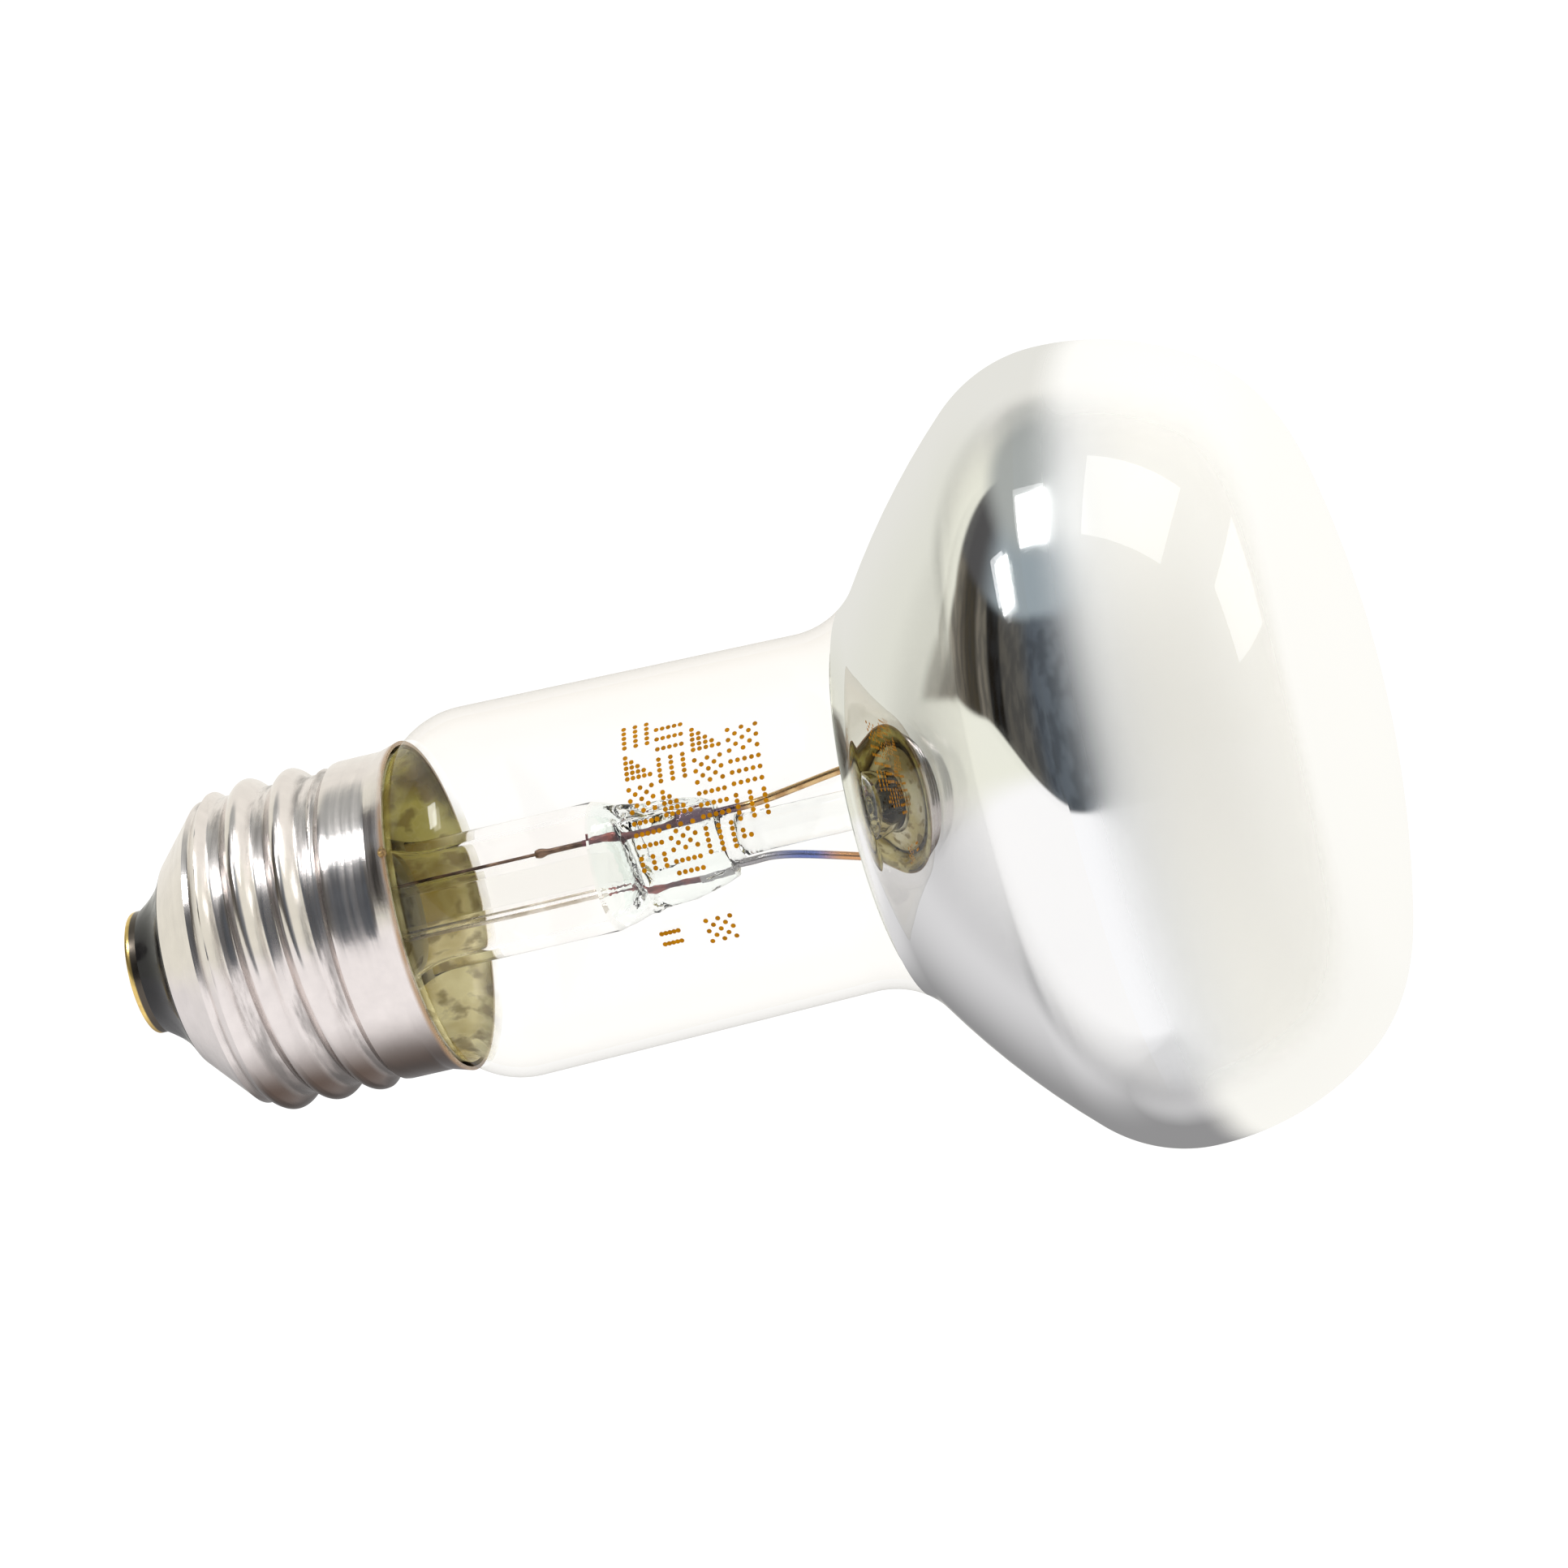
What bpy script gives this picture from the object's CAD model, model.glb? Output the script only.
import math

import bmesh
import bpy
import numpy as np
from mathutils import Matrix, Vector


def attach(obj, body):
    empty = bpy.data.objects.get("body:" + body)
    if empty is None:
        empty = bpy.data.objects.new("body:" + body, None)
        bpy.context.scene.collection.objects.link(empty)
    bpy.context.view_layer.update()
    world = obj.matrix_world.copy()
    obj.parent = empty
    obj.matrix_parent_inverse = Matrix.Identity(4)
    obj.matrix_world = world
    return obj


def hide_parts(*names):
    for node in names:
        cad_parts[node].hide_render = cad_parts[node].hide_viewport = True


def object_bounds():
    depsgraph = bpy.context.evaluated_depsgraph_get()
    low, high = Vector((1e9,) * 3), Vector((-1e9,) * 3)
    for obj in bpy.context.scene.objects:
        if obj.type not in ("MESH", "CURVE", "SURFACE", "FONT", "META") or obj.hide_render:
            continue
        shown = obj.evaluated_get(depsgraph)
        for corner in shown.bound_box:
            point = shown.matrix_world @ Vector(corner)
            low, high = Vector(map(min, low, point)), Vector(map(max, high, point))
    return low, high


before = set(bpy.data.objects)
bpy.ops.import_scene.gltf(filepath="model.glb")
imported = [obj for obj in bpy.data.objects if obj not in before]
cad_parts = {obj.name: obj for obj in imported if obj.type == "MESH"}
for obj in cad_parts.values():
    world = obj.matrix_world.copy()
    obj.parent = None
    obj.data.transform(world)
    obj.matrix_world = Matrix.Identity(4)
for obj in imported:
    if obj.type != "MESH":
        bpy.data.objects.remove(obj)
cad_low, cad_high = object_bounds()

# Camera: a long lens, set lower than the bulb's face and rolled so that the cap lies to the left.
right = Vector((-0.22585418, 0.21199315, -0.95081481))
up = Vector((0.97414732, 0.04395337, -0.2215967))
back = Vector((-0.00518547, -0.97628224, -0.21643961))
camera = bpy.data.objects.new("camera", bpy.data.cameras.new("camera"))
camera.data.sensor_width = 36.0
camera.data.lens = 177.0186
camera.matrix_world = Matrix((
    (right.x, up.x, back.x, 0.0),
    (right.y, up.y, back.y, -0.5825651),
    (right.z, up.z, back.z, -0.0826129),
    (0.0, 0.0, 0.0, 1.0),
))
bpy.context.scene.collection.objects.link(camera)
bpy.context.scene.camera = camera
bpy.context.scene.view_settings.view_transform = "Standard"


# Studio: a white table that greys towards its far edge, a pale backdrop, a darker room with furniture on
# the camera's side, and soft rectangular lamps over the bulb. Only reflections see all this: the lens
# looks at plain white, and the floor is a pale sheet that only the eye sees.
def put(tree, kind, values=None, **settings):
    """Adds a shader node with its settings, and gives each named input a value or a link."""
    made = tree.nodes.new(kind)
    for key, value in settings.items():
        setattr(made, key, value)
    for key, value in (values or {}).items():
        if isinstance(value, bpy.types.NodeSocket):
            tree.links.new(value, made.inputs[key])
        else:
            made.inputs[key].default_value = value
    return made


def ramp(tree, value, low, high, start=0.0, end=1.0):
    """Smooth step of a number from low to high, given out between start and end."""
    return put(tree, "ShaderNodeMapRange", {
        "Value": value, "From Min": low, "From Max": high, "To Min": start, "To Max": end,
    }, interpolation_type="SMOOTHSTEP").outputs[0]


def maths(tree, operation, a, b=0.0):
    """One operation on one or two numbers."""
    return put(tree, "ShaderNodeMath", {0: a, 1: b}, operation=operation).outputs[0]


def product(tree, a, b):
    """Two numbers multiplied."""
    return maths(tree, "MULTIPLY", a, b)


def noise(tree, place, scale, detail, roughness=0.5):
    """Cloudy number, mostly from 0.3 to 0.7, at a place."""
    return put(tree, "ShaderNodeTexNoise", {
        "Vector": place, "Scale": scale, "Detail": detail, "Roughness": roughness,
    }).outputs[0]


def blend_colours(tree, share, first, second):
    """Colour between two others."""
    made = put(tree, "ShaderNodeMix", {0: share}, data_type="RGBA")
    for socket, value in ((made.inputs[6], first), (made.inputs[7], second)):
        if isinstance(value, bpy.types.NodeSocket):
            tree.links.new(value, socket)
        else:
            socket.default_value = (*value, 1.0)
    return made.outputs[2]


def bands(tree, value, low, high, stops):
    """Colour that runs in straight steps through stops of (value, colour)."""
    share = put(tree, "ShaderNodeMapRange", {"Value": value, "From Min": low, "From Max": high})
    made = put(tree, "ShaderNodeValToRGB", {0: share.outputs[0]})
    for number, (place, colour) in enumerate(stops):
        stop = made.color_ramp.elements[number] if number < 2 else made.color_ramp.elements.new(1.0)
        stop.position = (place - low) / (high - low)
        stop.color = (*colour, 1.0)
    return made.outputs[0]


world = bpy.data.worlds.new("studio")
bpy.context.scene.world = world
world.use_nodes = True
tree = world.node_tree
tree.nodes.clear()
direction = put(tree, "ShaderNodeTexCoord").outputs["Generated"]
toward = put(tree, "ShaderNodeSeparateXYZ", {0: direction})
rise = toward.outputs[0]
turn = maths(tree, "DEGREES", maths(tree, "ARCTAN2", toward.outputs[2], toward.outputs[1]))
turn = put(tree, "ShaderNodeMath", {0: turn, 1: 270.0, 2: -90.0}, operation="WRAP").outputs[0]
furniture = bands(tree, turn, 72.0, 216.0, (
    (72, (0.40, 0.37, 0.31)), (88, (0.17, 0.15, 0.12)), (97, (0.060, 0.050, 0.035)),
    (106, (0.050, 0.042, 0.028)), (109, (0.19, 0.17, 0.14)), (118, (0.17, 0.155, 0.125)),
    (120.5, (0.008, 0.006, 0.004)), (131, (0.010, 0.008, 0.006)), (133.5, (0.10, 0.092, 0.078)),
    (152, (0.11, 0.105, 0.095)), (163, (0.085, 0.10, 0.12)), (180, (0.15, 0.17, 0.19)),
    (198, (0.35, 0.36, 0.37)), (216, (0.80, 0.79, 0.76)),
))
tall = put(tree, "ShaderNodeMapping", {"Vector": direction, "Scale": (3.0, 9.0, 5.0)}).outputs[0]
clutter = ramp(tree, noise(tree, tall, 2.2, 4.0), 0.40, 0.60, 0.0, 0.45)
lower_room = blend_colours(tree, clutter, furniture, (0.03, 0.032, 0.036))
lit_wall = ramp(tree, turn, 104.0, 138.0)
upper_room = blend_colours(tree, lit_wall, (0.085, 0.083, 0.085), (0.33, 0.38, 0.41))
room = blend_colours(tree, ramp(tree, rise, 0.63, 0.69), lower_room, upper_room)
table_edge = ramp(tree, turn, 110.0, 180.0, 0.20, -0.28)
over_edge = ramp(tree, maths(tree, "SUBTRACT", rise, table_edge), -0.012, 0.018)
from_side = maths(tree, "SUBTRACT", turn, ramp(tree, rise, 0.30, 0.55, 0.0, 8.0))
beside = product(tree, ramp(tree, from_side, 73.0, 77.0), ramp(tree, turn, 214.0, 196.0))
room_share = product(tree, over_edge, beside)
by_window = ramp(tree, turn, 60.0, 100.0, 0.0, 0.20)
near_table = maths(tree, "ADD", ramp(tree, turn, 22.0, 62.0, 0.36, 0.84), by_window)
near_table = maths(tree, "MAXIMUM", near_table, ramp(tree, rise, -0.62, -0.88, 0.33, 0.74))
near_table = maths(tree, "MAXIMUM", near_table, ramp(tree, turn, 4.0, -20.0, 0.0, 0.96))
less_green = product(tree, near_table, 0.99)
table = put(tree, "ShaderNodeCombineColor", {0: near_table, 1: less_green, 2: near_table})
backdrop = blend_colours(tree, ramp(tree, turn, 24.0, 70.0), (0.97, 0.96, 0.90), (0.90, 0.90, 0.80))
pale = blend_colours(tree, ramp(tree, rise, -0.14, 0.0), table.outputs[0], backdrop)
beyond = blend_colours(tree, room_share, pale, room)
seen_in_gloss = blend_colours(tree, ramp(tree, rise, 0.84, 0.95), beyond, (0.42, 0.44, 0.43))
path = put(tree, "ShaderNodeLightPath")
bounced = blend_colours(tree, ramp(tree, rise, 0.4, -0.5), (0.84, 0.835, 0.83), (1.36, 1.35, 1.32))
soft = blend_colours(tree, path.outputs["Is Glossy Ray"], bounced, seen_in_gloss)
white = maths(tree, "MAXIMUM", path.outputs["Is Camera Ray"], path.outputs["Is Transmission Ray"])
light = put(tree, "ShaderNodeBackground", {"Color": blend_colours(tree, white, soft, (1.1, 1.1, 1.1))})
tree.links.new(light.outputs[0], put(tree, "ShaderNodeOutputWorld").inputs[0])


def softbox(name, centre, aim, width, height, watts):
    """Rectangular lamp at centre that faces aim, its width along the bulb's axis."""
    lamp = bpy.data.lights.new(name, "AREA")
    lamp.shape = "RECTANGLE"
    lamp.size, lamp.size_y, lamp.energy = width, height, watts
    made = bpy.data.objects.new(name, lamp)
    ahead = (Vector(centre) - Vector(aim)).normalized()
    across = Vector((0, 0, 1)) if abs(ahead.z) < 0.9 else Vector((1, 0, 0))
    side = (across - ahead * across.dot(ahead)).normalized()
    facing = Matrix((side, ahead.cross(side), ahead)).transposed().to_4x4()
    made.matrix_world = Matrix.Translation(centre) @ facing
    bpy.context.scene.collection.objects.link(made)


in_bowl = (0, 0, 0.02)
softbox("lamp_over_face", (0.80, -0.19, -0.385), in_bowl, 0.46, 0.46, 2.2)
softbox("lamp_over_bowl", (0.80, -0.26, 0.095), in_bowl, 0.14, 0.26, 0.7)
softbox("lamp_over_neck", (0.72, -0.48, 0.42), in_bowl, 0.15, 0.24, 1.4)
softbox("lamp_ahead", (0.30, 0.10, -0.80), in_bowl, 0.28, 0.50, 1.6)

floor_mesh = bpy.data.meshes.new("floor")
floor_half = 1.5
floor_corners = [(x * floor_half, y * floor_half, 0) for x, y in ((-1, -1), (1, -1), (1, 1), (-1, 1))]
floor_mesh.from_pydata(floor_corners, [], [(0, 1, 2, 3)])
floor = bpy.data.objects.new("floor", floor_mesh)
bpy.context.scene.collection.objects.link(floor)
sheet = bpy.data.materials.new("pale_floor")
sheet.use_nodes = True
tree = sheet.node_tree
tree.nodes.clear()
path = put(tree, "ShaderNodeLightPath")
front = maths(tree, "SUBTRACT", 1.0, put(tree, "ShaderNodeNewGeometry").outputs["Backfacing"])
paper = noise(tree, put(tree, "ShaderNodeTexCoord").outputs["Object"], 30.0, 3.0)
sheet_colour = blend_colours(tree, paper, (0.86, 0.86, 0.86), (0.90, 0.90, 0.89))
shown = put(tree, "ShaderNodeMixShader", {
    0: product(tree, path.outputs["Is Camera Ray"], front),
    1: put(tree, "ShaderNodeBsdfTransparent").outputs[0],
    2: put(tree, "ShaderNodeBsdfDiffuse", {"Color": sheet_colour}).outputs[0],
})
tree.links.new(shown.outputs[0], put(tree, "ShaderNodeOutputMaterial").inputs[0])
floor_mesh.materials.append(sheet)


# Bulb: one piece of blown glass, clear from the cap to the widest point and etched on the inside of
# its domed face. The neck's tail is cemented into the cap. Shapes are in mm and degrees, as in the
# part's source, and materials read metres.
mm = 0.001
lamp_length = cad_high[2] / mm
bowl_radius = cad_high[0] / mm
wall = 0.8
dome_radius = 85.0
corner_radius = 11.6
side_radius = 21.3
side_angle = 54.0
shoulder_radius = 11.0
shoulder_angle = 42.0
bowl_angle = 55.0
throat_radius = 7.5
neck_at_throat = 14.15
neck_straight = 27.3
neck_taper = 1.25
collar_radius = 7.0
collar_angle = 40.0
collar_fall = 0.9
tail_radius = 4.0
tail_angle = 8.0
tail_length = 5.2


def sin(angle):
    """Sine of an angle in degrees."""
    return math.sin(math.radians(angle))


def cos(angle):
    """Cosine of an angle in degrees."""
    return math.cos(math.radians(angle))


over_dome = bowl_radius - corner_radius * sin(side_angle) - side_radius * (1 - sin(side_angle))
dome_turn = math.degrees(math.asin(over_dome / (dome_radius - corner_radius)))
throat_fall = throat_radius * (cos(neck_taper) - cos(bowl_angle))
shoulder_fall = shoulder_radius * (1 - cos(shoulder_angle))
long_fall = bowl_radius - neck_at_throat - throat_fall - shoulder_fall
long_radius = long_fall / (cos(shoulder_angle) - cos(bowl_angle))
face_moves = [
    (dome_radius, dome_turn), (corner_radius, side_angle - dome_turn), (side_radius, 90 - side_angle),
]
bowl_moves = [(shoulder_radius, shoulder_angle), (long_radius, bowl_angle - shoulder_angle)]
neck_moves = [
    (throat_radius, -bowl_angle - neck_taper), (neck_straight, 0), (collar_radius, collar_angle + neck_taper),
    (collar_fall, 0), (tail_radius, tail_angle - collar_angle), (tail_length, 0),
]


def trace(start, heading, moves, inset, turn_step=2.0):
    """Radius and height along lines (length, 0) and arcs (radius, turn in degrees) laid head to tail,
    all kept parallel at inset to the left: each arc's points are its centre plus its radius."""
    line_step = 1.5
    lean = math.radians(heading)
    x, y = start[0] - inset * math.sin(lean), start[1] + inset * math.cos(lean)
    runs = [np.array([[x, y]])]
    for size, turn in moves:
        if turn == 0:
            part = np.linspace(0, size, max(2, math.ceil(size / line_step) + 1))[1:, None]
            run = np.array([x, y]) + part * np.array([math.cos(lean), math.sin(lean)])
        else:
            side = math.copysign(1, turn)
            radius = size - side * inset
            centre = np.array([x - side * radius * math.sin(lean), y + side * radius * math.cos(lean)])
            a = lean + np.radians(np.linspace(0, turn, max(2, math.ceil(abs(turn) / turn_step) + 1))[1:])
            run = centre + side * radius * np.stack([np.sin(a), -np.cos(a)], 1)
            lean += math.radians(turn)
        runs.append(run)
        x, y = run[-1]
    return np.concatenate(runs)


def skin_mesh(name, points, round_rows=False):
    """Mesh of quads over a grid of points (rows, columns, 3) in mm. Columns, and rows if asked, close on
    themselves, and points that meet are merged. The map UVMap holds metres along both."""
    rows, columns = points.shape[:2]
    i, j = np.meshgrid(np.arange(rows - (not round_rows)), np.arange(columns), indexing="ij")
    i, j = i.ravel(), j.ravel()
    corners_i = np.stack([i, i, i + 1, i + 1], 1)
    corners_j = np.stack([j, j + 1, j + 1, j], 1)
    faces = (corners_i % rows) * columns + corners_j % columns
    mesh = bpy.data.meshes.new(name)
    mesh.from_pydata((points.reshape(-1, 3) * mm).tolist(), [], faces.tolist())
    closed = np.concatenate([points, points[:, :1]], 1)
    closed = np.concatenate([closed, closed[:1]], 0) if round_rows else closed
    steps_j = np.linalg.norm(np.diff(closed, axis=1), axis=2)
    u = np.concatenate([[0], np.cumsum(steps_j.max(0))]) * mm
    steps_i = np.linalg.norm(np.diff(closed, axis=0), axis=2)
    v = np.concatenate([[0], np.cumsum(steps_i.mean(1))]) * mm
    layer = mesh.uv_layers.new(name="UVMap")
    layer.data.foreach_set("uv", np.stack([u[corners_j], v[corners_i]], 2).ravel())
    bm = bmesh.new()
    bm.from_mesh(mesh)
    bmesh.ops.remove_doubles(bm, verts=bm.verts, dist=2e-7)
    bm.to_mesh(mesh)
    bm.free()
    mesh.shade_smooth()
    mesh.set_sharp_from_angle(angle=math.radians(32))
    return mesh


def turned(name, profile, columns, round_rows=True):
    """A profile of radius and height carried round the axis: x = r sin a, y = -r cos a, z = h."""
    a = np.linspace(np.pi, 3 * np.pi, columns, endpoint=False)
    r, h = profile[:, 0][:, None], profile[:, 1][:, None]
    return skin_mesh(name, np.stack([r * np.sin(a), -r * np.cos(a), h + 0 * a], 2), round_rows)


def placed(name, mesh, material_list, nodes=()):
    """Object for a mesh, on the lamp's one body, in place of its CAD nodes."""
    piece = bpy.data.objects.new(name, mesh)
    bpy.context.scene.collection.objects.link(piece)
    for finish in material_list:
        mesh.materials.append(finish)
    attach(piece, "root")
    if nodes:
        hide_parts(*nodes)


def blank(name):
    """Empty node material: its tree and a call that joins a shader to its output."""
    material = bpy.data.materials.new(name)
    material.use_nodes = True
    tree = material.node_tree
    tree.nodes.clear()
    output = put(tree, "ShaderNodeOutputMaterial")
    return material, tree, lambda socket: tree.links.new(socket, output.inputs[0])


def object_place(tree):
    """Place on a piece, in metres in the shared frame."""
    return put(tree, "ShaderNodeTexCoord").outputs["Object"]


def bumps(tree, height_of, strength, distance):
    """Normal of a surface that rises with a number, by up to a distance in metres."""
    return put(tree, "ShaderNodeBump", {
        "Strength": strength, "Distance": distance, "Height": height_of,
    }).outputs[0]


def surface(tree, colour, roughness, others=None):
    """Shader with a colour, a roughness and other inputs by name."""
    values = {"Base Color": colour, "Roughness": roughness, **(others or {})}
    return put(tree, "ShaderNodeBsdfPrincipled", values).outputs[0]


def clear_shader(tree, colour=(1.0, 1.0, 1.0, 1.0)):
    """Shader that lets the view through unbent."""
    return put(tree, "ShaderNodeBsdfTransparent", {"Color": colour}).outputs[0]


def mixed(tree, share, first, second):
    """Shader between two others."""
    return put(tree, "ShaderNodeMixShader", {0: share, 1: first, 2: second}).outputs[0]


def thin_glass(name, backed=False, outside=True):
    """Clear wall that doesn't bend light: see-through, creamier where its outside is seen edge-on, with
    a reflection that rises with the fifth power of the facing. A wall with film or etch behind it shows
    that up to its very edge, as real glass bends the view onto it."""
    material, tree, finish = blank(name)
    facing = put(tree, "ShaderNodeLayerWeight", {"Blend": 0.5}).outputs["Facing"]
    place = object_place(tree)
    x, _, z = put(tree, "ShaderNodeSeparateXYZ", {0: place}).outputs
    ripple = bumps(tree, noise(tree, place, 55.0, 1.0), 0.05, 0.0006)
    rise, least = (0.45, 0.042) if outside else (0.0, 0.015)
    gloss = maths(tree, "ADD", product(tree, maths(tree, "POWER", facing, 5.0), rise), least)
    upper = ramp(tree, x, -0.010, 0.008, 0.25, 1.0) if outside else 0.0
    edge = product(tree, ramp(tree, facing, 0.15, 0.95), upper)
    haze = noise(tree, place, 140.0, 4.0)
    clear = blend_colours(tree, haze, (1.0, 0.998, 0.992), (0.998, 0.994, 0.986))
    tinted = clear_shader(tree, blend_colours(tree, edge, clear, (0.985, 0.962, 0.928)))
    shine = put(tree, "ShaderNodeBsdfGlossy", {"Roughness": 0.012, "Normal": ripple}).outputs[0]
    shader = mixed(tree, gloss, tinted, shine)
    if backed:
        etch = put(tree, "ShaderNodeBsdfDiffuse", {"Color": (0.72, 0.715, 0.69, 1.0)}).outputs[0]
        behind = mixed(tree, ramp(tree, z, 0.0150, 0.0185), etch, shine)
        shader = mixed(tree, ramp(tree, facing, 0.34, 0.58), shader, behind)
    finish(shader)
    return material


def etched_face():
    """Inside of the face: a fine white etch that scatters light both ways, cooler towards the widest
    point, where the mirror's film fades in over it."""
    material, tree, finish = blank("etched_glass")
    place = object_place(tree)
    z = put(tree, "ShaderNodeSeparateXYZ", {0: place}).outputs[2]
    grain = noise(tree, place, 2600.0, 3.0)
    cloud = noise(tree, place, 60.0, 2.0)
    ivory = blend_colours(tree, cloud, (0.96, 0.955, 0.93), (0.93, 0.925, 0.90))
    cool = blend_colours(tree, ramp(tree, z, 0.010, 0.0185), ivory, (0.84, 0.86, 0.89))
    skin = surface(tree, cool, ramp(tree, grain, 0.3, 0.7, 0.55, 0.70), {
        "Specular IOR Level": 0.2, "Normal": bumps(tree, grain, 0.12, 0.00004),
    })
    through = put(tree, "ShaderNodeBsdfTranslucent", {"Color": cool}).outputs[0]
    film_roughness = ramp(tree, z, 0.0188, 0.0150, 0.05, 0.27)
    film = surface(tree, (0.93, 0.945, 0.96, 1.0), film_roughness, {"Metallic": 1.0})
    finish(mixed(tree, ramp(tree, z, 0.0138, 0.0192), mixed(tree, 0.30, skin, through), film))
    return material


outer_line = trace((0, 0), 0, face_moves + bowl_moves + neck_moves, 0)
inner_line = trace((0, 0), 0, face_moves + bowl_moves + neck_moves, wall)
round_columns = 256
bulb_mesh = turned("bulb_glass", np.concatenate([outer_line, inner_line[::-1]]), round_columns)
bulb_skins = [thin_glass("clear_bulb_glass"), etched_face()]
placed("bulb_glass", bulb_mesh, bulb_skins, ["glass_envelope"])
film_start, film_stop, cement_start = 0.0196, 0.0385, 0.0752
centre = np.empty(len(bulb_mesh.polygons) * 3)
normal = np.empty(len(bulb_mesh.polygons) * 3)
bulb_mesh.polygons.foreach_get("center", centre)
bulb_mesh.polygons.foreach_get("normal", normal)
centre, normal = centre.reshape(-1, 3), normal.reshape(-1, 3)
above_face = 0.028
inward = (normal[:, :2] * centre[:, :2]).sum(1) < normal[:, 2] * np.clip(above_face - centre[:, 2], 0, 1)
level = centre[:, 2]
clear_out, etch_in, cement_out, backed_out, clear_in, mirror_in = range(6)
bulb_skin = np.where(inward, clear_in, clear_out)
bulb_skin[inward & (level < film_stop)] = mirror_in
bulb_skin[inward & (level < film_start)] = etch_in
bulb_skin[~inward & (level < film_stop)] = backed_out
bulb_skin[~inward & (level > cement_start)] = cement_out
bulb_mesh.polygons.foreach_set("material_index", bulb_skin)


# Mirror: aluminium evaporated onto the inside of the bowl, from the widest point to the throat, where
# it fades out. Its inner side is milkier than the one seen through the glass.
film_edge = 0.0390
widest = trace((0, 0), 0, face_moves, 0)[-1]
film_moves = bowl_moves + [(throat_radius, -27.0)]
film_gap, film_thickness = 0.01, 0.06
film_back = trace(widest, 90, film_moves, wall + film_gap, 1.5)
film_front = trace(widest, 90, film_moves, wall + film_gap + film_thickness, 1.5)
mirror, tree, finish = blank("evaporated_aluminium")
place = object_place(tree)
z = put(tree, "ShaderNodeSeparateXYZ", {0: place}).outputs[2]
swell = noise(tree, place, 34.0, 1.5)
cloud = noise(tree, place, 90.0, 4.0)
silver = blend_colours(tree, cloud, (0.95, 0.955, 0.955), (0.90, 0.91, 0.91))
metal = surface(tree, silver, ramp(tree, cloud, 0.3, 0.7, 0.03, 0.07), {
    "Metallic": 1.0, "Normal": bumps(tree, swell, 0.35, 0.0016),
})
frayed = maths(tree, "ADD", z, product(tree, cloud, 0.0004))
gone = ramp(tree, frayed, film_edge - 0.0004, film_edge + 0.0003)
finish(mixed(tree, gone, metal, clear_shader(tree)))
bloom, tree, finish = blank("inside_of_aluminium")
milk = put(tree, "ShaderNodeBsdfDiffuse", {"Color": (0.86, 0.88, 0.82, 1.0)}).outputs[0]
metal = surface(tree, (0.90, 0.91, 0.88, 1.0), 0.05, {"Metallic": 1.0})
finish(mixed(tree, 0.35, metal, milk))
film_mesh = turned("mirror_film", np.concatenate([film_back, film_front[::-1]]), round_columns)
film_skin = np.arange(len(film_mesh.polygons)) // round_columns >= len(film_back) - 1
film_mesh.polygons.foreach_set("material_index", film_skin.astype(int))
placed("mirror_film", film_mesh, [mirror, bloom], ["reflector_coating"])


# Cap: thin aluminium sheet, drawn and rolled to the screw thread, with a cone up to the insulator
# and a plain band flared at the rim, where the cut edge has picked up cement and rust.
crown_depth, crown_radius = 4.2, 8.45
crown_foot, root_radius = 7.7, 12.15
thread_start, thread_end = 8.0, 18.6
band_start, band_radius = 19.2, 12.75
flare_top = 22.9
cap_height, rim_radius = 24.5, 13.2
sheet_thickness = 0.3
pitch = 3.629
ridge_height = 1.1
cap_phase = 11.65
crown_angle = 46.6
crest_radius = 13.1


def cap_skin(inset, rows, columns):
    """Cap surface at inset from the outside. The plain outline's radius is a function of depth, and the
    thread adds a rounded ridge that depends on the distance to the helix's nearest turn."""
    few = max(3, rows // 14)
    depth = np.concatenate([
        np.linspace(crown_depth, crown_foot - 0.15, few), np.linspace(crown_foot, thread_end + 0.4, rows),
        np.linspace(band_start - 0.05, flare_top, few), np.linspace(flare_top + 0.05, cap_height, few),
    ])
    plain = np.interp(
        depth, [crown_depth, crown_foot, thread_end, band_start, flare_top, cap_height],
        [crown_radius, root_radius, root_radius, band_radius, band_radius, rim_radius])
    tilt = np.interp(depth, [crown_depth, crown_foot - 0.1, crown_foot + 0.1], [cos(crown_angle)] * 2 + [1.0])
    a = np.linspace(np.pi, 3 * np.pi, columns, endpoint=False)
    z = lamp_length - depth
    turn = (z[:, None] - (lamp_length - cap_phase)) / pitch - (a[None, :] - np.pi / 2) / (2 * np.pi)
    half_ridge = pitch * 0.42
    away = np.abs(turn - np.round(turn)) * pitch / half_ridge
    rounded = (np.cos(np.clip(away, 0, 1) * np.pi / 2) ** 2) ** 0.7
    ridge = crest_radius - ridge_height + ridge_height * rounded
    fade = root_radius - 0.25 + np.minimum(depth - thread_start, thread_end - 0.1 - depth)[:, None]
    ridge = np.minimum(ridge, fade)
    r = plain[:, None] * np.ones_like(ridge)
    soft = 0.06
    fillet = 0.35 * soft * np.exp(-np.abs(r - ridge) / soft) * (np.minimum(r, ridge) > 11.8)
    r = np.maximum(r, ridge) + fillet - inset / tilt[:, None]
    return np.stack([r * np.sin(a), -r * np.cos(a), z[:, None] + 0 * r], 2)


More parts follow.
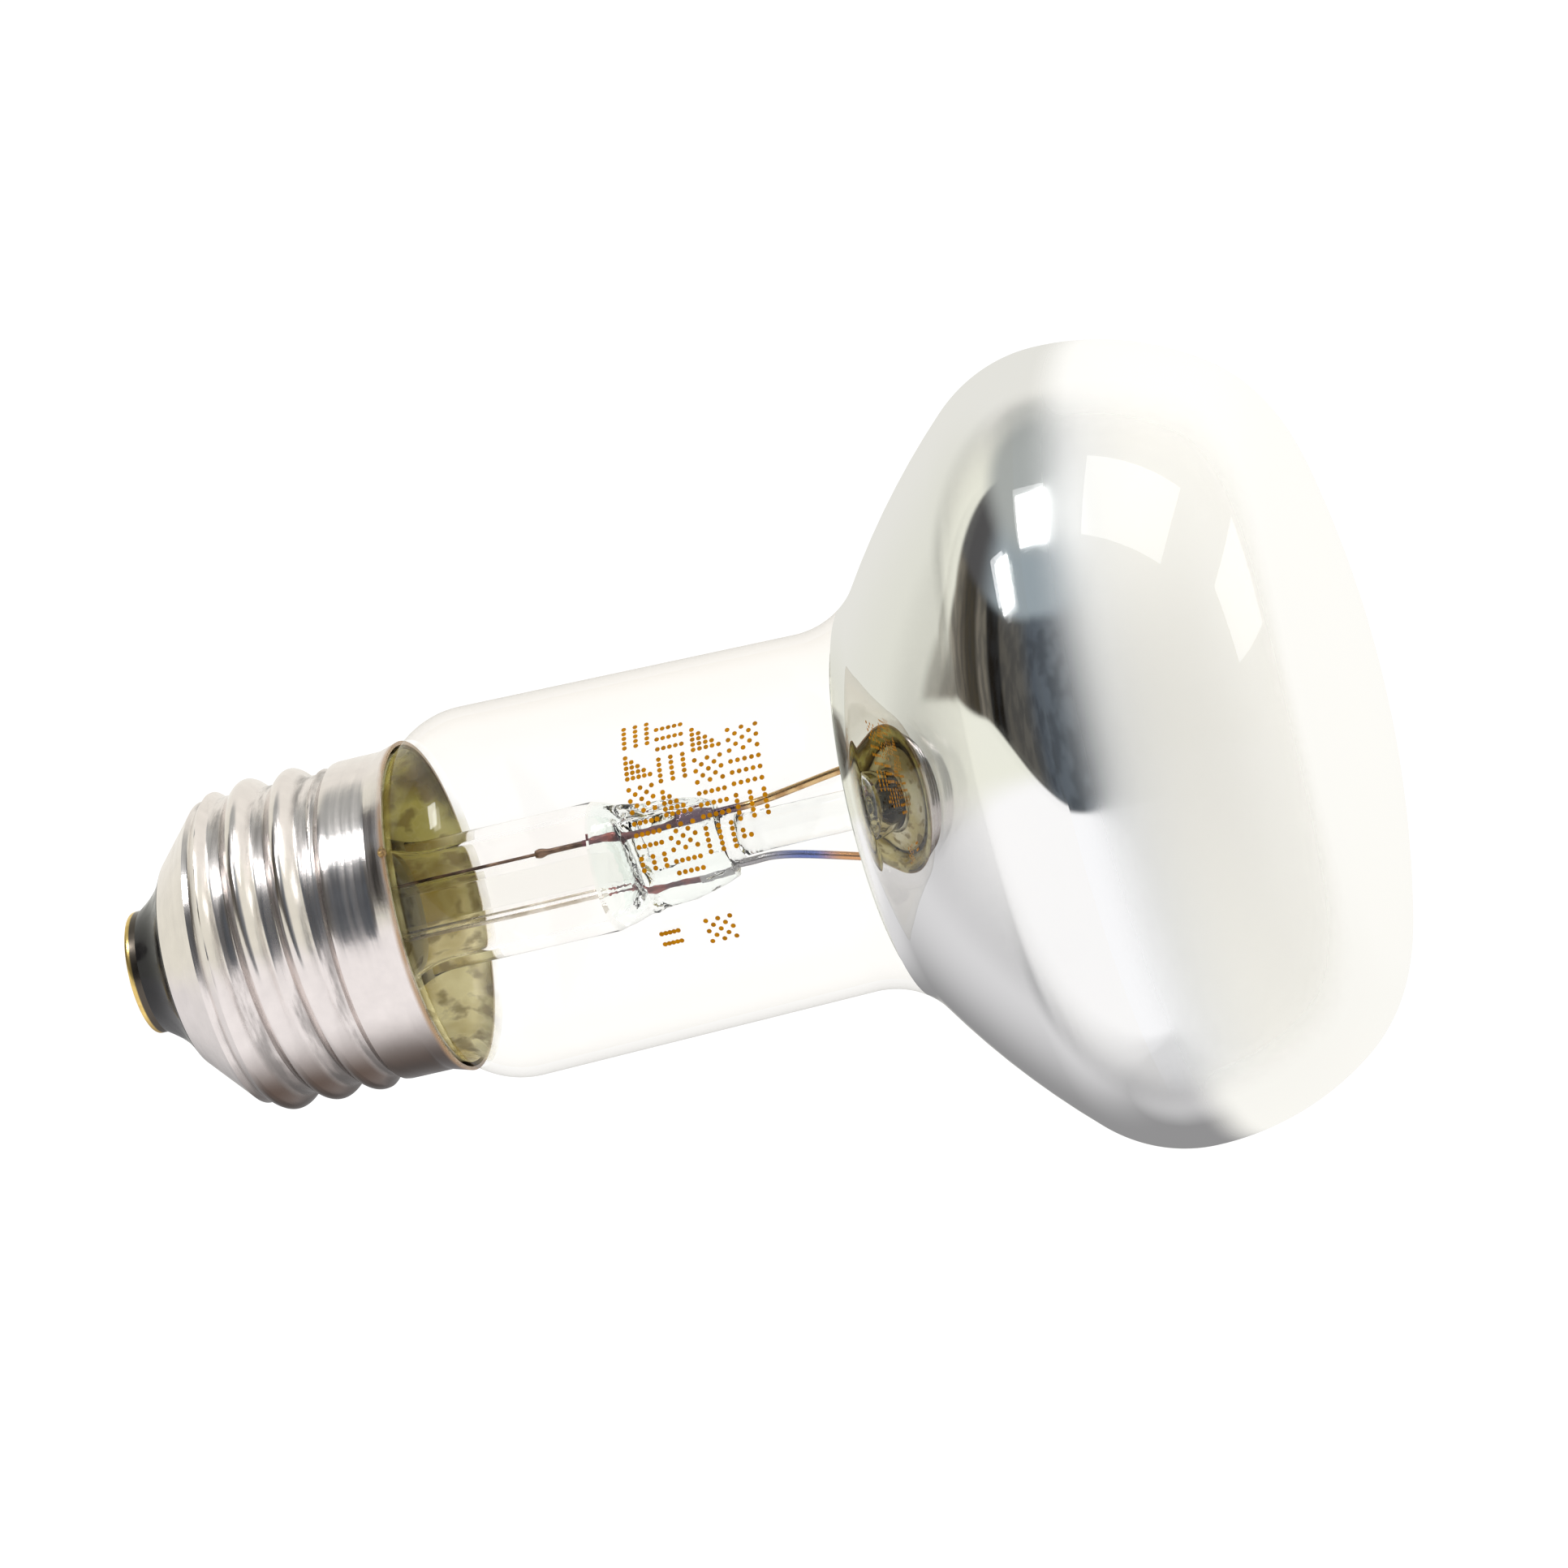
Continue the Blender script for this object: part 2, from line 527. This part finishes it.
cap_metal, tree, finish = blank("rolled_aluminium")
place = object_place(tree)
x, y, z = put(tree, "ShaderNodeSeparateXYZ", {0: place}).outputs
radius = maths(tree, "SQRT", maths(tree, "ADD", product(tree, x, x), product(tree, y, y)))
run = put(tree, "ShaderNodeUVMap", uv_map="UVMap").outputs[0]
drawn = put(tree, "ShaderNodeMapping", {"Vector": run, "Scale": (60.0, 1500.0, 1.0)}).outputs[0]
lines = noise(tree, drawn, 1.0, 4.0)
smear_place = put(tree, "ShaderNodeMapping", {"Vector": run, "Scale": (110.0, 520.0, 1.0)}).outputs[0]
smear = noise(tree, smear_place, 1.0, 5.0, 0.6)
mottle = noise(tree, place, 700.0, 5.0)
top = lamp_length * mm
trough = ramp(tree, radius, 0.01262, 0.01214)
above_band = ramp(tree, z, top - 0.0192, top - 0.0182)
in_thread = product(tree, above_band, ramp(tree, z, top - 0.0076, top - 0.0084))
smeared = ramp(tree, smear, 0.42, 0.62, 0.0, 0.62)
grime = product(tree, product(tree, trough, in_thread), smeared)
clean = blend_colours(tree, mottle, (0.88, 0.82, 0.79), (0.72, 0.67, 0.65))
under = product(tree, ramp(tree, x, -0.0070, -0.0116), ramp(tree, radius, 0.0116, 0.0125))
bright = blend_colours(tree, under, clean, (0.11, 0.075, 0.058))
dirty = blend_colours(tree, grime, bright, (0.13, 0.12, 0.115))
cut_edge = ramp(tree, z, top - 0.02395, top - 0.0244)
rust = product(tree, cut_edge, ramp(tree, smear, 0.35, 0.6, 0.25, 0.9))
rusted = blend_colours(tree, rust, dirty, (0.34, 0.20, 0.09))
height_of = maths(tree, "ADD", product(tree, lines, 0.6), product(tree, mottle, 0.4))
worn = maths(tree, "ADD", ramp(tree, lines, 0.3, 0.7, 0.15, 0.27), product(tree, grime, 0.25))
finish(surface(tree, rusted, worn, {
    "Metallic": maths(tree, "SUBTRACT", 1.0, product(tree, rust, 0.8)),
    "Normal": bumps(tree, height_of, 0.50, 0.00006),
}))
outside = cap_skin(0.0, 190, 320)
inside = cap_skin(sheet_thickness, 190, 320)[::-1][::3]
placed("screw_cap", skin_mesh("screw_cap", np.concatenate([outside, inside]), round_rows=True),
       [cap_metal], ["screw_shell"])


# Insulator: black glass pressed into the cap's top, with a shallow hollow flank up to the contact.
def height(depth):
    """Height of a point this deep below the contact."""
    return lamp_length - depth


black, tree, finish = blank("black_glass")
place = object_place(tree)
pits = noise(tree, place, 900.0, 4.0)
flow = noise(tree, place, 240.0, 2.0)
jet = blend_colours(tree, pits, (0.005, 0.005, 0.006), (0.016, 0.015, 0.016))
finish(surface(tree, jet, ramp(tree, pits, 0.35, 0.65, 0.10, 0.24), {
    "Specular IOR Level": 0.2, "Normal": bumps(tree, flow, 0.25, 0.0002),
}))
flank = np.linspace(0, 1, 14)[:, None]
flank_line = (1 - flank) * np.array([[5.0, height(1.0)]]) + flank * np.array([[8.40, height(4.16)]])
flank_line += 0.35 * np.sin(np.pi * flank) * np.array([[-0.72, -0.69]])
insulator_line = np.concatenate([
    [[1.5, height(7.2)], [1.5, height(0.42)], [4.46, height(0.42)], [4.46, height(1.0)]], flank_line,
    [[8.44, height(4.22)], [8.02, height(4.3)], [11.1, height(7.2)]],
])[::-1]
insulator_mesh = turned("black_insulator", insulator_line, 160)
placed("black_insulator", insulator_mesh, [black], ["insulator"])


# Contact: a small brass cup on the insulator's boss, its hole filled by the lead's tin solder.
brass, tree, finish = blank("nickelled_brass")
place = object_place(tree)
stain = noise(tree, place, 500.0, 5.0)
z = put(tree, "ShaderNodeSeparateXYZ", {0: place}).outputs[2]
gold = blend_colours(tree, ramp(tree, stain, 0.35, 0.65), (0.92, 0.68, 0.24), (0.62, 0.43, 0.15))
skirt = ramp(tree, z, top - 0.00035, top - 0.0005)
plated = blend_colours(tree, skirt, gold, (0.10, 0.085, 0.07))
finish(surface(tree, plated, ramp(tree, stain, 0.3, 0.7, 0.22, 0.42), {"Metallic": 1.0}))
contact_line = np.array([
    [2.2, 0.0], [4.55, 0.0], [4.70, 0.02], [4.83, 0.08], [4.89, 0.18], [4.9, 0.3], [4.9, 1.0],
    [4.5, 1.0], [4.5, 0.4], [1.5, 0.4],
]) * [1, -1] + [0, lamp_length]
contact_mesh = turned("contact_cup", contact_line[::-1], 128)
placed("contact_cup", contact_mesh, [brass], ["contact_plate"])

solder, tree, finish = blank("tin_solder")
place = object_place(tree)
lump = noise(tree, place, 1500.0, 4.0)
grey = blend_colours(tree, lump, (0.66, 0.66, 0.67), (0.44, 0.43, 0.42))
finish(surface(tree, grey, ramp(tree, lump, 0.3, 0.7, 0.22, 0.40), {
    "Metallic": 1.0, "Normal": bumps(tree, lump, 0.4, 0.0001),
}))
bead_line = np.array([
    [0, 0.045], [0.7, 0.05], [1.3, 0.06], [1.7, 0.085], [2.0, 0.11], [1.95, 0.2], [1.5, 0.42], [1.45, 1.2],
    [0, 1.2],
]) * [1, -1] + [0, lamp_length]
bead_mesh = turned("contact_bead", bead_line[::-1], 64)
placed("contact_bead", bead_mesh, [solder], ["contact_solder"])
a, b = np.meshgrid(np.linspace(0, 2 * np.pi, 40, endpoint=False), np.linspace(np.pi, 0, 24))
wobble = 1 + 0.10 * np.sin(3 * a + 1) * np.sin(b) + 0.06 * np.sin(5 * b + 2 * a) * np.sin(b)
blob = np.stack([np.sin(b) * np.cos(a), np.sin(b) * np.sin(a) * 1.15, np.cos(b) * 0.8], 2)
weld_angle, weld_radius = 22.0, 13.05
blob = 0.42 * wobble[..., None] * blob
blob += np.array([weld_radius * sin(weld_angle), -weld_radius * cos(weld_angle), height(24.35)])
stained, tree, finish = blank("flux_stained_solder")
lump = noise(tree, object_place(tree), 1800.0, 4.0)
amber = blend_colours(tree, ramp(tree, lump, 0.35, 0.65), (0.42, 0.27, 0.10), (0.16, 0.10, 0.05))
finish(surface(tree, amber, ramp(tree, lump, 0.3, 0.7, 0.3, 0.5), {"Metallic": 0.6}))
placed("rim_bead", skin_mesh("rim_bead", blob), [stained], ["side_solder"])


# Cement: a baked resin and stone paste that holds the glass in the cap, seen through the neck. Where it
# wets the glass it ends in a ragged line.
def cement_paste(name, ragged):
    """Yellow paste, baked brown towards the photograph's top, in blotches of two sizes. Where it is
    seen past the flare's clear glass it looks paler than where it wets the neck."""
    material, tree, finish = blank(name)
    place = object_place(tree)
    patch = noise(tree, place, 130.0, 3.0)
    blotch = noise(tree, place, 420.0, 5.0)
    x, _, z = put(tree, "ShaderNodeSeparateXYZ", {0: place}).outputs
    if ragged:
        brown, dull = (0.20, 0.14, 0.03), (0.58, 0.52, 0.15)
        amber, cream = (0.50, 0.38, 0.08), (0.95, 0.88, 0.50)
    else:
        brown, dull = (0.44, 0.38, 0.18), (0.72, 0.70, 0.42)
        amber, cream = (0.72, 0.64, 0.34), (0.95, 0.93, 0.76)
    burnt = blend_colours(tree, ramp(tree, patch, 0.40, 0.60), brown, dull)
    olive = blend_colours(tree, ramp(tree, patch, 0.38, 0.60), amber, cream)
    colour = blend_colours(tree, ramp(tree, x, 0.007, -0.004), burnt, olive)
    spotted = blend_colours(tree, ramp(tree, blotch, 0.50, 0.64, 0.0, 0.75), colour, (0.22, 0.15, 0.03))
    shader = surface(tree, spotted, ramp(tree, blotch, 0.3, 0.7, 0.14, 0.40), {
        "Normal": bumps(tree, blotch, 0.5, 0.0003),
    })
    if ragged:
        line = maths(tree, "ADD", z, product(tree, patch, 0.0040))
        shader = mixed(tree, ramp(tree, line, 0.0766, 0.0792), clear_shader(tree), shader)
    finish(shader)
    return material


paste = cement_paste("base_cement", False)
collar = trace((0, 0), 0, face_moves + bowl_moves + neck_moves[:3], 0)[-1]
tail_line = trace(collar, 90 + collar_angle, neck_moves[3:], -0.01)
tail_end = tail_line[-1]
bore = tail_end[0] * 0.9
cement_top, in_thread_radius, in_band_radius = height(14.2), 11.78, 12.38
cement_line = np.concatenate([tail_line[1:], [
    [bore, tail_end[1]], [bore, cement_top], [in_thread_radius, cement_top],
    [in_thread_radius, height(18.8)], [in_band_radius, height(19.4)], [in_band_radius, height(23.9)],
]])
bulb_mesh.materials.append(cement_paste("cement_behind_glass", True))
bulb_mesh.materials.append(thin_glass("backed_bulb_glass", backed=True))
bulb_mesh.materials.append(thin_glass("inner_bulb_glass", outside=False))
bulb_mesh.materials.append(mirror)
placed("cement", turned("cement", cement_line, 160), [paste], ["cap_cement"])


# Stem: a glass tube flared to the neck's tail, its other end pinched flat on the leads while hot. The
# press leaves fine ridges and a greenish tint in the thick glass.
def fused_glass(name, tint, strength, bending=1.5):
    """Thick lead glass that bends light, with ripples left by the heat or the press."""
    material, tree, finish = blank(name)
    place = object_place(tree)
    ripple = noise(tree, place, 420.0, 3.0)
    z = put(tree, "ShaderNodeSeparateXYZ", {0: place}).outputs[2]
    near_press = product(tree, ramp(tree, z, 0.0640, 0.0605, 0.06, 1.0), ripple)
    cloud = noise(tree, place, 150.0, 2.0)
    colour = blend_colours(tree, cloud, [0.5 + 0.5 * part for part in tint], tint)
    finish(surface(tree, colour, ramp(tree, cloud, 0.3, 0.7, 0.0, 0.03), {
        "Transmission Weight": 1.0, "IOR": bending, "Normal": bumps(tree, near_press, strength, 0.0004),
    }))
    return material


stem_radius = 5.15
stem_bore = 4.15
flare_radius = 6.5
lead_angle = 50.0
flare_turn = 62.0
lip_radius = tail_end[0] - wall - 0.02
spread = flare_radius * (1 - cos(flare_turn))
slant = (lip_radius - stem_radius - spread) / sin(flare_turn)
flare_start = tail_end[1] - 1.0 - flare_radius * sin(flare_turn) - slant * cos(flare_turn)


def pressed(half_long, half_short, square, z, columns):
    """Rings that change from round to flat on the way down: a ring is a super-ellipse whose long half
    lies across the two leads, |x/a|^n + |y/b|^n = 1, with n from 2 (round) to 3.2 (square-ended)."""
    a = np.linspace(0, 2 * np.pi, columns, endpoint=False)[None, :]
    power = 2 / square[:, None]
    along = half_long[:, None] * np.sign(np.cos(a)) * np.abs(np.cos(a)) ** power
    across = half_short[:, None] * np.sign(np.sin(a)) * np.abs(np.sin(a)) ** power
    x = along * sin(lead_angle) + across * cos(lead_angle)
    y = -along * cos(lead_angle) + across * sin(lead_angle)
    return np.stack([x, y, z[:, None] + 0 * a], 2)


flare_moves = [(flare_radius, -flare_turn), (slant, 0)]
flare_outer = trace((stem_radius, flare_start), 90, flare_moves, 0, 3.0)
flare_inner = trace((stem_radius, flare_start), 90, flare_moves, 1.0, 3.0)
lip_line = np.array([
    [lip_radius, flare_outer[-1][1] + 0.5], [lip_radius - 0.2, tail_end[1] - 0.05],
    [lip_radius - 0.8, tail_end[1] - 0.02], [flare_inner[-1][0] + 0.1, flare_inner[-1][1] + 0.45],
])
press_rings = np.array([
    [48.4, 0.0, 0.0], [48.38, 2.9, 1.1], [48.2, 3.6, 1.6], [47.4, 3.85, 1.8], [46.0, 4.1, 1.9],
    [44.5, 4.4, 2.0], [43.0, 4.65, 2.1], [41.9, 4.8, 2.15], [41.3, 4.85, 2.3], [40.7, 4.9, 2.7],
    [40.1, 4.97, 3.4], [39.5, 5.05, 4.2], [38.9, 5.12, 4.85], [38.4, stem_radius, stem_radius],
    [36.0, stem_radius, stem_radius], [33.0, stem_radius, stem_radius],
])
depth, long_half, short_half = press_rings.T
outer_profile = np.concatenate([flare_outer, lip_line])
inner_profile = flare_inner[::-1]
bore_rings = np.array([
    [33.0, stem_bore, stem_bore], [36.0, stem_bore, stem_bore], [38.4, stem_bore, stem_bore],
    [39.2, 4.1, 3.6], [39.9, 3.9, 2.8], [40.4, 3.5, 2.0], [40.8, 2.6, 1.2], [41.0, 0.0, 0.0],
])
bore_depth, bore_long, bore_short = bore_rings.T
rings_z = np.concatenate([height(depth), outer_profile[:, 1], inner_profile[:, 1], height(bore_depth)])
rings_long = np.concatenate([long_half, outer_profile[:, 0], inner_profile[:, 0], bore_long])
rings_short = np.concatenate([short_half, outer_profile[:, 0], inner_profile[:, 0], bore_short])
square = np.interp(lamp_length - rings_z, [39.0, 41.5, 50.0], [2.0, 3.2, 3.2])
square[len(depth) + len(outer_profile):] = 2.0
rings = pressed(rings_long, rings_short, square, rings_z, 96)
x, y, z = np.moveaxis(rings, 2, 0)
pinched = np.clip(lamp_length - z - 40.5, 0, 1) * (rings_short > 0.3)[:, None]
lumps = 0.20 * np.sin(3.1 * z + 1.9 * x) * np.sin(2.3 * y + 1.3 * z) + 0.05 * np.sin(5.1 * z + 2.0 * x)
rings += (lumps * pinched)[..., None] * np.sign(rings) * [1, 1, 0]
stem_mesh = skin_mesh("stem", rings)
stem_height = np.empty(len(stem_mesh.polygons) * 3)
stem_mesh.polygons.foreach_get("center", stem_height)
press_top, flare_foot = 0.0622, 0.0786
stem_mesh.polygons.foreach_set("material_index", np.digitize(stem_height[2::3], [press_top, flare_foot]))
stem_skins = [
    fused_glass("pinch_glass", (0.91, 0.96, 0.93), 0.35, 1.42),
    fused_glass("stem_glass", (0.990, 0.976, 0.966), 0.03, 1.05), paste,
]
placed("stem", stem_mesh, stem_skins, ["stem_tube"])

tube_line = np.array([
    [1.30, 40.2], [1.30, 13.6], [1.05, 12.6], [0.70, 11.9], [0.45, 11.7], [0.35, 11.3], [0.0, 11.2],
    [0.0, 10.95], [0.7, 11.0], [1.3, 11.7], [1.8, 12.6], [2.0, 13.4], [2.0, 40.2],
]) * [1, -1] + [0, lamp_length]
tube_glass = fused_glass("exhaust_glass", (0.985, 0.985, 0.97), 0.03, 1.06)
tube_mesh = turned("exhaust_stub", tube_line, 64)
placed("exhaust_stub", tube_mesh, [tube_glass], ["exhaust_tube"])

rod_depth = np.array([48.44, 48.46, 48.9, 49.8, 52.0, 56.0, 60.0, 62.6])
rod_half = np.array([0.0, 2.2, 1.9, 1.65, 1.6, 1.6, 1.6, 1.62])
sweep = np.radians(np.linspace(50, 180, 16))
button = np.stack([2.3 * np.sin(sweep), height(64.9) + 2.3 * np.cos(sweep)], 1)
rod_line = np.concatenate([np.stack([rod_half, height(rod_depth)], 1), button])[::-1]
rod_glass = fused_glass("rod_glass", (0.96, 0.975, 0.96), 0.10)
rod_mesh = turned("glass_rod", rod_line, 64, round_rows=False)
placed("glass_rod", rod_mesh, [rod_glass], ["stem_rod"])


# Leads: copper-clad seal wires through the pinch, copper outside it, and nickelled wires inside that
# carry the filament. One outer lead goes to the contact, the other through a thin fuse to the rim.
def wire_metal(name, colours, roughness):
    """Drawn wire whose colour wanders between two tints along its length, as heat leaves it."""
    material, tree, finish = blank(name)
    tone = noise(tree, object_place(tree), 700.0, 3.0)
    colour = blend_colours(tree, ramp(tree, tone, 0.35, 0.65), *colours)
    drawn = ramp(tree, tone, 0.3, 0.7, roughness, roughness + 0.15)
    finish(surface(tree, colour, drawn, {"Metallic": 1.0}))
    return material


def at(radius, angle, depth):
    """Point at a radius, an angle from the camera's side towards the photograph's top, and a depth."""
    return [radius * sin(angle), -radius * cos(angle), height(depth)]


def smooth_path(points, steps=14):
    """Catmull-Rom curve through the points: each span is the cubic set by its ends and neighbours."""
    p = np.array(points, float)
    p = np.concatenate([2 * p[:1] - p[1:2], p, 2 * p[-1:] - p[-2:-1]])
    t = np.linspace(0, 1, steps, endpoint=False)[:, None]
    spans = []
    for before, start, end, after in zip(p, p[1:], p[2:], p[3:]):
        square = 2 * before - 5 * start + 4 * end - after
        cube = 3 * start - before - 3 * end + after
        spans.append(0.5 * (2 * start + (end - before) * t + square * t**2 + cube * t**3))
    return np.concatenate(spans + [p[-2:-1]])


def drawn_wire(name, line, radius, sides=16):
    """A round section carried along a line of points, square to it, and closed at both ends."""
    ahead = np.gradient(line, axis=0)
    ahead /= np.linalg.norm(ahead, axis=1)[:, None]
    guide = np.eye(3)[np.argmin(np.abs(ahead).max(0))]
    side = np.cross(ahead, guide)
    side /= np.linalg.norm(side, axis=1)[:, None]
    over = np.cross(side, ahead)
    a = np.linspace(0, 2 * np.pi, sides, endpoint=False)
    size = np.broadcast_to(radius, len(line)).astype(float)[:, None, None]
    spokes = np.cos(a)[:, None] * over[:, None] + np.sin(a)[:, None] * side[:, None]
    rings = line[:, None] + size * spokes
    ends = np.repeat(line[[0, -1]][:, None], sides, 1)
    return skin_mesh(name, np.concatenate([ends[:1], rings, ends[1:]])[::-1])


copper = wire_metal("oxidised_copper", ((0.20, 0.13, 0.09), (0.08, 0.055, 0.045)), 0.30)
tinned = wire_metal("tinned_copper", ((0.74, 0.70, 0.64), (0.52, 0.46, 0.38)), 0.25)
clad = wire_metal("borated_copper", ((0.30, 0.10, 0.09), (0.10, 0.06, 0.07)), 0.30)
nickel, tree, finish = blank("heat_tinted_nickel")
place = object_place(tree)
x, _, z = put(tree, "ShaderNodeSeparateXYZ", {0: place}).outputs
tone = noise(tree, place, 900.0, 3.0)
warm = blend_colours(tree, ramp(tree, tone, 0.35, 0.65), (0.74, 0.52, 0.27), (0.52, 0.32, 0.15))
purple = blend_colours(tree, ramp(tree, z, 0.0490, 0.0505), warm, (0.16, 0.11, 0.14))
orange = blend_colours(tree, ramp(tree, z, 0.0435, 0.0460), (0.66, 0.33, 0.14), (0.12, 0.17, 0.45))
steel = blend_colours(tree, ramp(tree, z, 0.0465, 0.0500), orange, (0.34, 0.33, 0.34))
heated = blend_colours(tree, ramp(tree, x, -0.0005, 0.0005), steel, purple)
finish(surface(tree, heated, ramp(tree, tone, 0.3, 0.7, 0.20, 0.34), {"Metallic": 1.0}))

lead_offset = 2.75
other_side = lead_angle + 180
for letter, angle in (("a", lead_angle), ("b", other_side)):
    seal = smooth_path([at(lead_offset, angle, depth) for depth in (37.4, 41.0, 45.4)], 6)
    placed(f"seal_lead_{letter}", drawn_wire(f"seal_lead_{letter}", seal, 0.25), [clad],
           [f"seal_wire_{letter}"])
knot_depths = (37.4, 35.5, 34.4, 34.0, 33.55)
knot_line = smooth_path([at(lead_offset, lead_angle, depth) for depth in knot_depths], 8)
swell = 0.22 + 0.16 * np.exp(-((lamp_length - knot_line[:, 2] - 33.95) / 0.45) ** 2)
knot_mesh = drawn_wire("lead_to_fuse", knot_line, swell)
placed("lead_to_fuse", knot_mesh, [copper], ["outer_lead_a"])
centre_line = smooth_path([
    at(lead_offset, other_side, 37.4), at(2.78, other_side, 30.0), at(2.72, other_side, 20.0),
    at(lead_offset, other_side, 11.5), at(1.6, other_side, 8.6), at(0.3, other_side, 6.4),
    at(0.0, 0.0, 4.5), at(0.0, 0.0, 0.3),
])
centre_mesh = drawn_wire("lead_to_contact", centre_line, 0.22)
placed("lead_to_contact", centre_mesh, [tinned], ["outer_lead_b"])
fuse_line = smooth_path([
    at(lead_offset, lead_angle, 33.5), at(lead_offset, lead_angle, 26.0), at(lead_offset, lead_angle, 15.5),
    at(3.4, 48.0, 12.8), at(8.4, 26.0, 11.9), at(11.0, weld_angle, 12.6), at(11.55, weld_angle, 14.5),
    at(11.55, weld_angle, 18.6), at(11.9, weld_angle, 20.0), at(12.2, weld_angle, 21.5),
    at(12.25, weld_angle, 23.2), at(12.75, weld_angle, 24.4),
])
placed("fuse_line", drawn_wire("fuse_line", fuse_line, 0.13, 12), [copper], ["fuse_wire"])

arc_middle, arc_half = 140.0, 110.0
arc_radius = 9.0
first_end, last_end = arc_middle - arc_half, arc_middle + arc_half
filament_depth = 73.0
for letter, angle, end, lean in (("a", lead_angle, first_end, 1), ("b", other_side, last_end, -1)):
    post = smooth_path([
        at(lead_offset, angle, 45.2), at(2.78, angle, 49.0), at(2.95, angle, 52.2),
        at(4.6, angle - lean * 8.0, 58.5), at(6.6, angle - lean * 14.0, 65.5),
        at(8.6, end + lean * 0.6, 71.8), at(arc_radius, end, 73.3),
    ])
    leg = drawn_wire(f"lead_post_{letter}", post, 0.32)
    around = np.radians(end) + np.linspace(-0.11, 0.11, 8)
    grip = arc_radius * np.stack([np.sin(around), -np.cos(around), 0 * around], 1)
    grip[:, 2] = height(filament_depth)
    clamp = drawn_wire("clamp", grip, 0.85, 20)
    bm = bmesh.new()
    bm.from_mesh(leg)
    bm.from_mesh(clamp)
    bm.to_mesh(leg)
    bm.free()
    leg.shade_smooth()
    leg.set_sharp_from_angle(angle=math.radians(32))
    bpy.data.meshes.remove(clamp)
    placed(f"lead_post_{letter}", leg, [nickel], [f"inner_lead_{letter}"])

tungsten = wire_metal("tungsten_coil", ((0.30, 0.30, 0.31), (0.20, 0.20, 0.21)), 0.35)
steps = np.linspace(0, 1, 3400)
angle = np.radians(first_end + steps * (last_end - first_end))
coil_turns = 150
wind = steps * 2 * np.pi * coil_turns
spoke = np.stack([np.sin(angle), -np.cos(angle), 0 * angle], 1)
sag = 0.15 * np.sin(np.pi * np.clip(steps * 4 % 1, 0, 1))[:, None] * np.array([0, 0, -1.0])
turn_radius = 0.38
coil = (arc_radius + turn_radius * np.cos(wind))[:, None] * spoke + sag
coil[:, 2] += height(filament_depth) + turn_radius * np.sin(wind)
coil_mesh = drawn_wire("tungsten_filament", coil, 0.055, 6)
placed("tungsten_filament", coil_mesh, [tungsten], ["filament"])
molybdenum = wire_metal("molybdenum_hook", ((0.50, 0.50, 0.51), (0.36, 0.36, 0.37)), 0.30)
for number in (1, 2, 3):
    spoke_angle = first_end + number * 55.0
    hook = [at(radius, spoke_angle, depth) for radius, depth in (
        (1.2, 64.9), (4.2, 65.0), (6.6, 66.2), (8.2, 70.5), (8.42, 72.6), (8.45, 73.4), (arc_radius, 73.68),
        (9.55, 73.4), (9.58, 72.7),
    )]
    hook_mesh = drawn_wire(f"filament_hook_{number}", smooth_path(hook, 8), 0.15, 10)
    placed(f"filament_hook_{number}", hook_mesh, [molybdenum], [f"support_wire_{number}"])


# Print: rows of fired ink dots round the neck, in plain half-tone blocks with gaps between them.
ink, tree, finish = blank("orange_ink")
place = object_place(tree)
fade = noise(tree, place, 1200.0, 4.0)
amber = blend_colours(tree, ramp(tree, fade, 0.35, 0.65), (0.32, 0.125, 0.0), (0.42, 0.17, 0.0))
finish(surface(tree, amber, ramp(tree, fade, 0.3, 0.7, 0.45, 0.65), {"Specular IOR Level": 0.05}))
dots = []
dot_pitch, dot_radius, dot_rows = 0.44, 0.205, 5
cell_width = 6
neck_middle = 14.3
# A block has the depths of its first and last row, the angles where it starts and stops, and a shift
# that sets which of the four patterns its first cell shows.
for first, last, start, stop, shift in (
        (44.7, 46.8, 42, -4, 0), (47.3, 49.5, 39, -10, 1), (50.1, 52.4, 36, -6, 3),
        (52.9, 55.4, 33, -1, 2), (44.6, 46.2, -24, -31, 1), (48.2, 50.4, -23, -33, 2)):
    row_depth = np.linspace(first + 0.14, last - 0.14, dot_rows)
    columns = np.arange(0, math.radians(start - stop) * neck_middle / dot_pitch).astype(int)
    column, row = np.meshgrid(columns, np.arange(dot_rows))
    cell, spot = column // cell_width, column % cell_width
    in_cell = spot < cell_width - 1
    bars = in_cell & (row % 2 == 0)
    posts = in_cell & (spot % 2 == 0)
    halftone = in_cell & ((column + row) % 2 == 0)
    stairs = in_cell & (row <= spot)
    kind = (cell * 3 + shift) % 4
    inked = np.select([kind == 0, kind == 1, kind == 2], [bars, posts, halftone], stairs)
    dot_turn = start - np.degrees(column[inked] * dot_pitch / neck_middle)
    dots.append(np.stack([row_depth[row[inked]], dot_turn], 1))
dots = np.concatenate(dots)
ink_thickness = 0.012
neck_line = outer_line[120:]
neck_radius = np.interp(height(dots[:, 0]), neck_line[:, 1], neck_line[:, 0])[:, None] + ink_thickness
dot_sides = 8
rim = np.linspace(0, 2 * np.pi, dot_sides, endpoint=False)
dot_angle = np.radians(dots[:, 1])[:, None] + dot_radius * np.cos(rim) / neck_radius
dot_height = height(dots[:, 0][:, None] + dot_radius * np.sin(rim))
marks = np.stack([neck_radius * np.sin(dot_angle), -neck_radius * np.cos(dot_angle), dot_height], 2)
mark_faces = np.arange(len(dots) * dot_sides).reshape(-1, dot_sides)
mark_mesh = bpy.data.meshes.new("neck_print")
mark_mesh.from_pydata((marks.reshape(-1, 3) * mm).tolist(), [], mark_faces.tolist())
placed("neck_print", mark_mesh, [ink])
